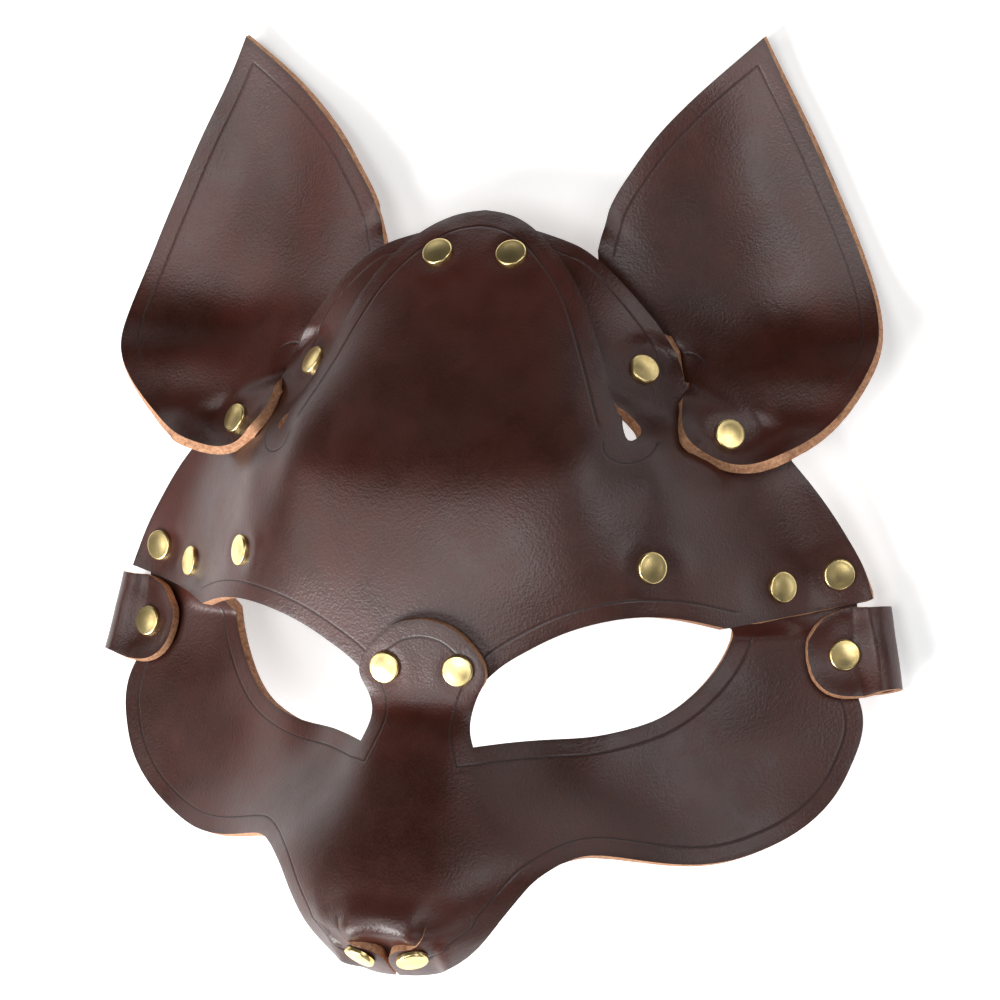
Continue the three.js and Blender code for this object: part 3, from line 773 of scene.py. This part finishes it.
# %% Cut the muzzle
MUZZLE_SPACING = 1.3
muzzle = cut_leather("muzzle_leather", muzzle_outline, bend_muzzle, LEATHER, muzzle_lines,
                     spacing=MUZZLE_SPACING)

# %% [markdown]
# ## The ears
# Each ear is a leaf with a slit at its foot. The slit straddles the wing's edge: the inner flap
# lies behind the wing, the lobe lies before it, and a rivet on each side holds the cup. The left
# ear is cut from the same pattern, turned over.

# %% Cut both ears
ears = [cut_leather(f"ear_leather_{hand}", ear_outline, bend_ear, LEATHER, ear_lines,
                    mirror=hand == "left") for hand in ("right", "left")]

# %% [markdown]
# ## The strap loops
# A strip of thinner leather is folded round the cheek's edge and held by one rivet. The strap of
# the real mask runs through the fold, so the fold is round and open. The strip could be swept along
# a curve, but cut and bent like the rest it gets the same raw edge.

# %% The way of a strap loop
LOOP_FRONT = 9.5
LOOP_REACH = 12.4
LOOP_INNER_RADIUS = 4.2
LOOP_TURN = 0.19
LOOP_RIM_LIFT = 1.2
LOOP_BOW = LOOP_INNER_RADIUS + LOOP_LEATHER
BEHIND_GAP = 0.6


def loop_path(s):
    """Along the strip: out over the cheek, round the strap's way, and back behind the cheek."""
    straight = LOOP_FRONT + LOOP_REACH - LOOP_BOW
    bow = math.pi * LOOP_BOW

    def rise(a, gap):
        return mix(LEATHER / 2 + gap + LOOP_LEATHER, LOOP_BOW, fade(a, 1.8, 6.8))
    angle = np.clip((s - straight) / LOOP_BOW, 0, math.pi)
    back = LOOP_REACH - LOOP_BOW - (s - straight - bow)
    out = np.where(s < straight, s - LOOP_FRONT,
                   np.where(s < straight + bow,
                            LOOP_REACH - LOOP_BOW + LOOP_BOW * np.sin(angle), back))
    high = np.where(s < straight, rise(s - LOOP_FRONT, 2 * GAP),
                    np.where(s < straight + bow, LOOP_BOW * np.cos(angle),
                             -rise(back, BEHIND_GAP)))
    return out, high


def bend_loop(s, v):
    a, h = loop_path(s)
    x = LOOP_RIVET[0] + a * math.cos(LOOP_TURN) - v * math.sin(LOOP_TURN)
    y = LOOP_RIVET[1] + a * math.sin(LOOP_TURN) + v * math.cos(LOOP_TURN)
    cheek = on_face(muzzle_face)
    fold = fade(s, LOOP_FRONT, LOOP_FRONT + 6)
    rim = LOOP_RIM_LIFT * fade(np.hypot(s - LOOP_FRONT, v), 5, 11.5)
    lifted = (rim - dimples(s - LOOP_FRONT, v, [(0, 0)])) * (1 - fold)
    return cheek(x, y) + normals(cheek, x, y) * (h - LEATHER / 2 + lifted)[:, None]


print("the strap's way is", 2 * LOOP_INNER_RADIUS, "mm high")

# %% Cut both strap loops
LOOP_HALF_WIDTH = 11.6
BACK_SHORTER = 2
LOOP_LENGTH = 2 * (LOOP_FRONT + LOOP_REACH - LOOP_BOW) + math.pi * LOOP_BOW - BACK_SHORTER
LOOP_SPACING = 1.0
ROUND_END = [(0, 0), (0.7, 5), (3.4, 9), (7.6, 11), (12, LOOP_HALF_WIDTH)]
BACK_SHOULDER = (LOOP_LENGTH - 2, 9)
BACK_CORNER = (LOOP_LENGTH, 6)

loop_side = np.vstack([curve(run, LOOP_SPACING)[1:] for run in (
    ROUND_END, [ROUND_END[-1], BACK_SHOULDER], [BACK_SHOULDER, BACK_CORNER])])
back_end = curve([BACK_CORNER, (BACK_CORNER[0], -BACK_CORNER[1])], LOOP_SPACING)[1:-1]
loop_outline = np.vstack([ROUND_END[:1], loop_side, back_end, loop_side[::-1] * (1, -1)])
loops = [cut_leather(f"strap_loop_leather_{hand}", loop_outline, bend_loop, LOOP_LEATHER,
                     spacing=LOOP_SPACING, mirror=hand == "left") for hand in ("right", "left")]

# %% [markdown]
# ## The rivets
# A double cap rivet is a low button with a soft rim, a post, and a smaller button behind. It could
# be spun from a profile, but one cylinder does as well: the top is inset and lifted into a low
# dome, the underside is inset and pulled out into the post and the back, and the rims are bevelled.

# %% Pick the ends and the rims of a rivet
BACK_RADIUS = 3.8


def clear_selection(mesh):
    for item in (*mesh.vertices, *mesh.edges, *mesh.polygons):
        item.select = False


def pick_end(rivet, upward):
    """Selects the outermost flat face above (1) or below (-1), in edit mode."""
    bpy.ops.object.mode_set(mode="OBJECT")
    clear_selection(rivet.data)
    ends = [f for f in rivet.data.polygons if len(f.vertices) > 4 and f.normal.z * upward > 0.9]
    max(ends, key=lambda f: f.center.z * upward).select = True
    bpy.ops.object.mode_set(mode="EDIT")
    bpy.ops.mesh.select_mode(type="FACE")


def pick_rims(rivet, heights):
    """Selects the outermost edges at the given heights, in edit mode."""
    clear_selection(rivet.data)
    for edge in rivet.data.edges:
        a, b = (rivet.data.vertices[i].co for i in edge.vertices)
        outermost = min(a.xy.length, b.xy.length) > (BACK_RADIUS - 0.1) * MM
        edge.select = outermost and all(round(v.z, 6) in heights for v in (a, b))
    bpy.ops.object.mode_set(mode="EDIT")
    bpy.ops.mesh.select_mode(type="EDGE")


print("faces and edges of a rivet are picked by their place")

# %% Model a rivet
CAP_HEIGHT = 1.2
POST_RADIUS = 1.5
BACK_HEIGHT = 0.8
RIM_INSET = 0.75
DOME_INSET = 0.9
DOME_LIFTS = (0.12, 0.09, 0.05)
BACK_INSET = 1.4
RIM_ROUND = 0.5
RIVET_SIDES = 48


def pull(distance):
    bpy.ops.mesh.extrude_region_move(TRANSFORM_OT_translate={"value": (0, 0, distance * MM)})


def cap_rivet(name, stack):
    """A rivet through a stack of leather, with its cap standing on the height 0."""
    bpy.ops.object.select_all(action="DESELECT")
    bpy.ops.mesh.primitive_cylinder_add(vertices=RIVET_SIDES, radius=CAP_RADIUS * MM,
                                        depth=CAP_HEIGHT * MM,
                                        location=(0, 0, CAP_HEIGHT / 2 * MM))
    rivet = bpy.context.object
    rivet.name = rivet.data.name = name
    bpy.ops.object.transform_apply(location=True, rotation=True, scale=True)
    pick_end(rivet, 1)
    bpy.ops.mesh.inset(thickness=RIM_INSET * MM)
    for lift in DOME_LIFTS:
        bpy.ops.mesh.inset(thickness=DOME_INSET * MM)
        bpy.ops.transform.translate(value=(0, 0, lift * MM))
    pick_end(rivet, -1)
    bpy.ops.mesh.inset(thickness=(CAP_RADIUS - POST_RADIUS) * MM)
    pull(-stack)
    pull(0)
    wider = BACK_RADIUS / POST_RADIUS
    bpy.ops.transform.resize(value=(wider, wider, 1))
    pull(-BACK_HEIGHT)
    bpy.ops.mesh.inset(thickness=BACK_INSET * MM)
    bpy.ops.object.mode_set(mode="OBJECT")
    pick_rims(rivet, {round(CAP_HEIGHT * MM, 6), round(-(stack + BACK_HEIGHT) * MM, 6)})
    bpy.ops.mesh.bevel(offset=RIM_ROUND * MM, segments=4, profile=0.5)
    bpy.ops.mesh.select_all(action="SELECT")
    bpy.ops.mesh.normals_make_consistent(inside=False)
    bpy.ops.object.mode_set(mode="OBJECT")
    bpy.ops.object.shade_smooth_by_angle(angle=math.radians(40))
    return rivet


print("a rivet's cap is", 2 * CAP_RADIUS, "mm wide and its back", 2 * BACK_RADIUS, "mm")

# %% [markdown]
# Each rivet stands square on its face, in the dimple that it presses. The stacks of leather differ,
# so one rivet is modelled for each place, and copied for the other side with its own mesh.

# %% Set all rivets
def seat(rivet, face, place, side):
    """Moves a rivet's mesh so that it stands square on a face, in its dimple."""
    x, y = (np.array([float(v)]) for v in place)
    point, normal = on_face(face)(x, y)[0], normals(on_face(face), x, y)[0]
    point = point - normal * DIMPLE
    point[0] *= side
    normal[0] *= side
    origin, tip = (Vector(to_part([v])[0]) for v in (point, point + normal))
    turn = (tip - origin).normalized().to_track_quat("Z", "Y")
    rivet.data.transform(Matrix.Translation(origin) @ turn.to_matrix().to_4x4())


def copied(piece, name):
    twin = piece.copy()
    twin.data = piece.data.copy()
    twin.name = twin.data.name = name
    bpy.context.scene.collection.objects.link(twin)
    return twin


def loop_face(x, y):
    return muzzle_face(x, y) + off(muzzle_face, x, y, 2 * GAP + LOOP_LEATHER)


TWO_LAYERS = LEATHER + LAYER
NOSE_STACK = TWO_LAYERS + 1.5
LOOP_STACK = LEATHER + 2 * LOOP_LEATHER + 2 * GAP + BEHIND_GAP
RIVETS = [
    ("crown", brow_face, CROWN_RIVET, TWO_LAYERS),
    ("ear_inner", wing_face, EAR_INNER_RIVET, TWO_LAYERS),
    ("ear_outer", ear_before, EAR_OUTER_RIVET, TWO_LAYERS),
    ("brow_inner", brow_face, BROW_RIVETS[0], TWO_LAYERS),
    ("brow_middle", brow_face, BROW_RIVETS[1], TWO_LAYERS),
    ("brow_outer", brow_face, BROW_RIVETS[2], TWO_LAYERS),
    ("bridge", muzzle_face, BRIDGE_RIVET, TWO_LAYERS),
    ("nose", muzzle_section, NOSE_RIVET, NOSE_STACK),
    ("loop", loop_face, LOOP_RIVET, LOOP_STACK),
]
rivets = {}
for kind, face, place, stack in RIVETS:
    right = cap_rivet(f"brass_{kind}_right", stack - DIMPLE)
    left = copied(right, f"brass_{kind}_left")
    for rivet, hand, side in ((right, "right", 1), (left, "left", -1)):
        seat(rivet, face, place, side)
        rivets[f"rivet_{kind}_{hand}"] = rivet
print("rivets:", len(rivets), "with", len(rivet.data.polygons), "faces each")

# %% [markdown]
# ## Which solid each piece stands for
# Every fine piece replaces its plain solid and rides with the mask.

# %% Tie the pieces to the frame
stands_for = {"brow_panel": brow, "muzzle_panel": muzzle, "ear_right": ears[0],
              "ear_left": ears[1], "strap_loop_right": loops[0], "strap_loop_left": loops[1]}
for node, piece in {**stands_for, **rivets}.items():
    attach(piece, "root")
    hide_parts(node)
print("pieces tied:", len(stands_for) + len(rivets))

# %% [markdown]
# ## Shader maths
# A material is a net of small nodes. They could be placed and linked one by one, but the sums would
# be hard to read. This class wraps one output socket, so that sums and products are written as
# ordinary Python and the Math nodes appear by themselves.

# %% A socket that can be added and multiplied
class Wire:
    def __init__(self, tree, socket=None):
        self.tree, self.socket = tree, socket

    def add(self, kind, settings=None, inputs=None, output=0):
        """Any node: its settings first, then the values or links of its sockets."""
        node = self.tree.nodes.new(kind)
        for name, value in (settings or {}).items():
            setattr(node, name, value)
        for name, value in (inputs or {}).items():
            if isinstance(value, Wire):
                self.tree.links.new(value.socket, node.inputs[name])
            else:
                node.inputs[name].default_value = value
        return Wire(self.tree, node.outputs[output])

    def math(self, operation, *values):
        return self.add("ShaderNodeMath", {"operation": operation}, dict(enumerate(values)))

    def __add__(self, other):
        return self.math("ADD", self, other)

    def __mul__(self, other):
        return self.math("MULTIPLY", self, other)

    def fade(self, low, high, start=0.0, end=1.0):
        """A smooth change from start to end while the value goes from low to high."""
        return self.add("ShaderNodeMapRange", {"interpolation_type": "SMOOTHSTEP"},
                        {"Value": self, "From Min": low, "From Max": high,
                         "To Min": start, "To Max": end})

    def noise(self, scale, detail=2.0, roughness=0.5, distortion=0.0):
        return self.add("ShaderNodeTexNoise", {}, {
            "Vector": self, "Scale": scale, "Detail": detail, "Roughness": roughness,
            "Distortion": distortion})

    def tint(self, first, second):
        """The first colour where the value is 0, the second where it is 1."""
        return self.add("ShaderNodeMix", {"data_type": "RGBA"},
                        {0: self, 6: first, 7: second}, output=2)

    def bumped(self, depth):
        """A Bump node from a height of 0 to 1, with its depth in metres."""
        return self.add("ShaderNodeBump", {}, {"Strength": 1.0, "Distance": depth,
                                               "Height": self}, output="Normal")


print("shader maths ready")

# %% [markdown]
# Every material starts alike: its shader, a few fixed values, and the piece's own coordinates, so
# that its pattern stays on the piece wherever it goes.

# %% Start a material
def new_material(name, **fixed):
    """A material, the wire of the piece's own coordinates, and a way to feed its shader."""
    material = bpy.data.materials.new(name)
    material.use_nodes = True
    tree = material.node_tree
    shader = tree.nodes["Principled BSDF"]
    for socket, value in fixed.items():
        shader.inputs[socket.replace("_", " ")].default_value = value
    place = Wire(tree).add("ShaderNodeTexCoord", output="Object")

    def feed(**links):
        for socket, wire in links.items():
            tree.links.new(wire.socket, shader.inputs[socket.replace("_", " ")])
    return material, place, feed


print("materials start from the piece's own coordinates")

# %% [markdown]
# ## The leather's face
# Vegetable tanned leather, dyed dark brown and lightly waxed. The dye took unevenly, so the colour
# drifts between near black and a warm red brown. The grain is a fine pebble with small pores, and
# it breaks up the broad soft highlights. The tooled lines are pressed in, and painted shade darkens
# them. All but the lines is noise on the piece's own coordinates, so no picture is needed.

# %% Leather face material
DARK_DYE = (0.030, 0.0058, 0.0028, 1)
WARM_DYE = (0.064, 0.0092, 0.0038, 1)
PALE_FLECK = (0.046, 0.0100, 0.0050, 1)
BURNISHED = (0.022, 0.0060, 0.0035, 1)
# Painted shade: the colour laid into the tooled grooves.
GROOVE_SHADE = (0.006, 0.003, 0.0025, 1)
GRAIN_HEIGHT = 0.075


def leather_face():
    material, place, feed = new_material("waxed_leather", Specular_IOR_Level=0.6)
    marks = place.add("ShaderNodeAttribute", {"attribute_name": "tooling"}, output="Vector")
    split = place.add("ShaderNodeSeparateXYZ", {}, {"Vector": marks})
    pressed, edge = (Wire(place.tree, split.socket.node.outputs[i]) for i in range(2))
    groove = pressed.fade(0.15, 0.75)
    worn = edge.fade(0.2, 1.6, 1.0, 0.0)

    clouds = place.noise(28, 3, 0.55)
    streaks = place.noise(90, 4, 0.6, 0.4)
    flecks = place.noise(1500, 2, 0.6)
    warm = (clouds * 0.65 + streaks * 0.35).fade(0.38, 0.66)
    colour = warm.tint(DARK_DYE, WARM_DYE)
    colour = flecks.fade(0.35, 0.75).tint(colour, PALE_FLECK)
    colour = (worn * 0.35).tint(colour, BURNISHED)
    # The tooled grooves are darkened with painted shade.
    colour = (groove * 0.85).tint(colour, GROOVE_SHADE)

    pebble = place.add("ShaderNodeTexVoronoi", {"feature": "SMOOTH_F1"},
                       {"Vector": place, "Scale": 1500, "Smoothness": 0.6})
    pores = place.noise(3400, 2, 0.6)
    wrinkles = place.noise(420, 4, 0.62, 0.6)
    grain = pebble * 0.65 + pores * 0.5 + wrinkles * 0.45
    rough = streaks.fade(0.3, 0.7, 0.33, 0.41) + flecks * 0.06 + groove * 0.25
    feed(Base_Color=colour, Roughness=rough, Normal=(grain * GRAIN_HEIGHT).bumped(MM))
    return material


face_material = leather_face()
print("made", face_material.name)

# %% [markdown]
# ## The raw edge and the flesh side
# A cut through the hide shows its undyed middle: tan to pinkish brown fibres, dark where dye and
# burnishing reached. The flesh side has a short suede nap and is a dull brown. Each has a material
# of its own, because a slot follows a cut more cleanly than any mask.

# %% Raw edge and flesh side materials
FIBRE_BROWN = (0.32, 0.135, 0.065, 1)
FIBRE_TAN = (0.60, 0.34, 0.20, 1)
FIBRE_DYED = (0.17, 0.065, 0.038, 1)
SUEDE_DARK = (0.070, 0.034, 0.022, 1)
SUEDE_BROWN = (0.125, 0.064, 0.042, 1)
SUEDE_PALE = (0.16, 0.088, 0.06, 1)


def raw_edge():
    material, place, feed = new_material("raw_leather_edge", Specular_IOR_Level=0.25)
    fibres = place.noise(900, 4, 0.7, 0.5)
    patches = place.noise(130, 3, 0.6)
    colour = fibres.fade(0.3, 0.72).tint(FIBRE_BROWN, FIBRE_TAN)
    colour = patches.fade(0.55, 0.78).tint(colour, FIBRE_DYED)
    feed(Base_Color=colour, Roughness=fibres.fade(0.2, 0.8, 0.72, 0.95),
         Normal=fibres.bumped(0.12 * MM))
    return material


def flesh_side():
    material, place, feed = new_material("suede_flesh_side", Specular_IOR_Level=0.2)
    nap = place.noise(1400, 3, 0.75)
    patches = place.noise(60, 4, 0.6)
    colour = patches.fade(0.3, 0.7).tint(SUEDE_DARK, SUEDE_BROWN)
    colour = nap.fade(0.35, 0.7).tint(colour, SUEDE_PALE)
    feed(Base_Color=colour, Roughness=nap.fade(0.2, 0.8, 0.82, 0.98),
         Normal=nap.bumped(0.15 * MM))
    return material


edge_material, back_material = raw_edge(), flesh_side()
for piece in stands_for.values():
    for slot, material in enumerate((face_material, edge_material, back_material)):
        piece.data.materials[slot] = material
print("leather pieces dressed:", len(stands_for))

# %% [markdown]
# ## Brass
# The caps are pressed and tumbled brass: a bright pale gold with hair scratches and a few duller
# spots where they have been handled. A plain metal would look like foil, so the haze changes its
# roughness too.

# %% Brass material
BRIGHT_BRASS = (0.92, 0.73, 0.35, 1)
DULL_BRASS = (0.80, 0.60, 0.25, 1)


def polished_brass():
    material, place, feed = new_material("polished_brass", Metallic=1.0)
    haze = place.noise(420, 3, 0.6)
    hairs = place.noise(3200, 2, 0.6, 1.5)
    colour = haze.fade(0.35, 0.75).tint(BRIGHT_BRASS, DULL_BRASS)
    rough = haze.fade(0.3, 0.8, 0.26, 0.34) + hairs * 0.04
    feed(Base_Color=colour, Roughness=rough, Normal=hairs.bumped(0.0006 * MM))
    return material


brass_material = polished_brass()
for rivet in rivets.values():
    rivet.data.materials.clear()
    rivet.data.materials.append(brass_material)
print("made", brass_material.name)

# %% [markdown]
# ## The table
# The mask lies face up on a plain pale table. It glows a little by itself, which is a simple way to
# keep a white backdrop white without flooding the leather with light.

# %% Pale table
TABLE_SIZE = 6
TABLE_GLOW = 0.42
bpy.ops.object.select_all(action="DESELECT")
bpy.ops.mesh.primitive_plane_add(size=TABLE_SIZE, location=(0, 0, 0))
table = bpy.context.object
table.name = "table"
table_material, place, feed = new_material("pale_table", Specular_IOR_Level=0.2,
                                           Emission_Color=(1, 1, 1, 1),
                                           Emission_Strength=TABLE_GLOW)
speckle = place.noise(30, 3, 0.5)
feed(Base_Color=speckle.tint((0.86, 0.86, 0.86, 1), (0.90, 0.90, 0.895, 1)),
     Roughness=speckle.fade(0.2, 0.8, 0.75, 0.85))
table.data.materials.append(table_material)
print("table is", TABLE_SIZE, "m wide")

# %% [markdown]
# ## The camera
# The camera looks down on the mask from the right of the nose. Its distance and its lens give the
# photograph's perspective: a nearer camera would enlarge the nose.

# %% Camera
CAMERA_DISTANCE = 1050.0
CAMERA_YAW = math.radians(17.5)
CAMERA_UP = (-0.0373, 0.9992, 0.0118)
LENS = 143.64
SENSOR = 36
seen_from = CAMERA_DISTANCE * np.array([math.sin(CAMERA_YAW), 0, math.cos(CAMERA_YAW)])
eye, target, above = (Vector(v) for v in to_part([seen_from, (0, 0, 0), CAMERA_UP]))
backward = (eye - target).normalized()
sideways = (above - target).cross(backward).normalized()
upward = backward.cross(sideways)
turn = Matrix((sideways, upward, backward)).transposed()
camera_data = bpy.data.cameras.new("camera")
camera_data.lens = LENS
camera_data.sensor_width = SENSOR
camera_data.clip_end = 20
camera = bpy.data.objects.new("camera", camera_data)
camera.matrix_world = Matrix.Translation(eye) @ turn.to_4x4()
bpy.context.scene.collection.objects.link(camera)
bpy.context.scene.camera = camera
print("camera at", [round(v, 3) for v in eye])

# %% [markdown]
# ## The light
# A tall soft light stands to the left of the nose, as the broad sheen on the forehead shows. Four
# weaker ones stand overhead, at the left, behind the right ear and to the right of the nose. One
# even light would be simpler, but it would flatten the folds.

# %% Soft studio light
ROOM_LIGHT = 0.02


def soft_light(name, place, power, width, height):
    """A soft box at a place in metres, with its power in watts, turned to the mask."""
    data = bpy.data.lights.new(name, "AREA")
    data.energy, data.shape, data.size, data.size_y = power, "RECTANGLE", width, height
    lamp = bpy.data.objects.new(name, data)
    lamp.location = place
    lamp.rotation_euler = Vector(place).to_track_quat("Z", "Y").to_euler()
    bpy.context.scene.collection.objects.link(lamp)


soft_light("key", (-0.68, -0.78, 0.70), 25, 0.5, 0.9)
soft_light("top", (-0.12, 0.0, 1.24), 4.5, 0.5, 0.5)
soft_light("left", (-0.90, 0.10, 0.90), 2.5, 0.5, 0.5)
soft_light("back", (0.85, 0.50, 0.75), 3.5, 0.6, 0.6)
soft_light("fill", (0.75, -0.72, 0.70), 1.5, 0.5, 0.5)
world = bpy.data.worlds.new("room")
bpy.context.scene.world = world
world.use_nodes = True
room = world.node_tree.nodes["Background"]
room.inputs["Color"].default_value = (1, 1, 1, 1)
room.inputs["Strength"].default_value = ROOM_LIGHT
bpy.context.scene.view_settings.view_transform = "Standard"
print("five soft lights and a dim room")
